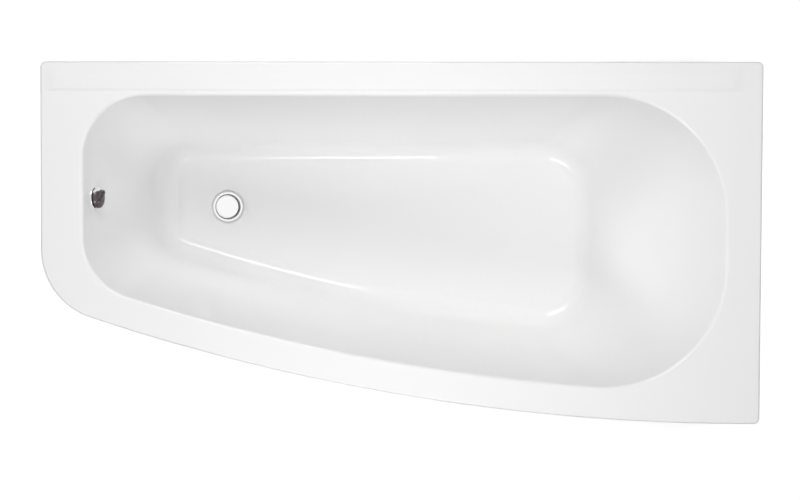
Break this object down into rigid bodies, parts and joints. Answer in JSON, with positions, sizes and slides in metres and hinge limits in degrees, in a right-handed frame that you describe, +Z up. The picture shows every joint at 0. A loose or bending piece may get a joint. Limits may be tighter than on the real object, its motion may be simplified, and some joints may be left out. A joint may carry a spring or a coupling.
{
  "type": "corner bathtub",
  "caption": "Space-saving acrylic corner bath with a curved front, levelling leg frame, pop-up waste, trap and rotary overflow control.",
  "frame": {"origin": "on the floor, at the centre of the bath's bounding box", "axes": "+X from the foot end, with the waste, to the sloping head end; +Y to the straight back that stands at the wall; +Z up"},
  "size_m": [1.5, 0.7499, 0.57],
  "materials": {
    "acrylic_white": "high gloss sanitary acrylic",
    "chipboard": "pressed wood chips, sealed",
    "galvanised_steel": "zinc coated sheet",
    "zinc_plated_steel": "bright zinc plated",
    "foot_plastic": "moulded, matt",
    "chrome": "polished chrome plate",
    "brass": "turned",
    "rubber": "moulded EPDM",
    "white_polypropylene": "moulded, satin",
    "grey_polypropylene": "moulded, satin"
  },
  "bodies": {
    "bath": {"tub_shell": "acrylic_white", "base_board": "chipboard", "rim_batten_back": "chipboard", "rim_batten_head": "chipboard", "cross_bar_foot": "galvanised_steel", "cross_bar_head": "galvanised_steel", "bar_screws": "zinc_plated_steel", "leg_nuts": "zinc_plated_steel", "waste_flange": "chrome", "waste_gasket_upper": "rubber", "waste_gasket_lower": "rubber", "waste_body": "white_polypropylene", "cable_gland_lower": "grey_polypropylene", "trap_body": "white_polypropylene", "trap_inlet_seal": "rubber", "trap_inlet_nut": "white_polypropylene", "trap_outlet_seal": "rubber", "trap_outlet_nut": "white_polypropylene", "outlet_pipe": "grey_polypropylene", "overflow_rosette": "chrome", "overflow_gasket": "rubber", "overflow_elbow": "white_polypropylene", "cable_gland_upper": "grey_polypropylene", "overflow_hose": "white_polypropylene", "hose_seals": "rubber", "hose_nut_upper": "white_polypropylene", "hose_nut_lower": "white_polypropylene"},
    "knob": {"overflow_knob": "chrome", "overflow_spindle": "brass", "spindle_crank": "grey_polypropylene"},
    "lever": {"lift_lever": "white_polypropylene", "lever_shaft": "zinc_plated_steel", "lever_crank": "grey_polypropylene"},
    "plug": {"plug_cap": "chrome", "plug_seal": "rubber", "plug_stem": "brass"},
    "leg_foot_back": {"leg_stud_foot_back": "zinc_plated_steel", "foot_pad_foot_back": "foot_plastic"},
    "leg_foot_front": {"leg_stud_foot_front": "zinc_plated_steel", "foot_pad_foot_front": "foot_plastic"},
    "leg_head_back": {"leg_stud_head_back": "zinc_plated_steel", "foot_pad_head_back": "foot_plastic"},
    "leg_head_front": {"leg_stud_head_front": "zinc_plated_steel", "foot_pad_head_front": "foot_plastic"}
  },
  "joints": [
    {"name": "knob_turn", "type": "hinge", "parent": "bath", "child": "knob", "pos_m": [-0.65019, 0.0922, 0.5095], "axis": [0.9799, 0, 0.1994], "range_deg": [-100, 0]},
    {"name": "lever_turn", "type": "hinge", "parent": "bath", "child": "lever", "pos_m": [-0.44, 0.0782, 0.122], "axis": [0, -1, 0], "range_deg": [-30, 0]},
    {"name": "plug_lift", "type": "slide", "parent": "bath", "child": "plug", "axis": [0, 0, 1], "range_m": [-0.0105, 0]},
    {"name": "leg_adjust_foot_back", "type": "slide", "parent": "bath", "child": "leg_foot_back", "axis": [0, 0, 1], "range_m": [-0.02, 0.015]},
    {"name": "leg_adjust_foot_front", "type": "slide", "parent": "bath", "child": "leg_foot_front", "axis": [0, 0, 1], "range_m": [-0.02, 0.015]},
    {"name": "leg_adjust_head_back", "type": "slide", "parent": "bath", "child": "leg_head_back", "axis": [0, 0, 1], "range_m": [-0.02, 0.015]},
    {"name": "leg_adjust_head_front", "type": "slide", "parent": "bath", "child": "leg_head_front", "axis": [0, 0, 1], "range_m": [-0.02, 0.015]}
  ],
  "couplings": [
    {"joint": "lever_turn", "follows": "knob_turn", "ratio": 0.3},
    {"joint": "plug_lift", "follows": "knob_turn", "m_per_rad": 0.006}
  ]
}
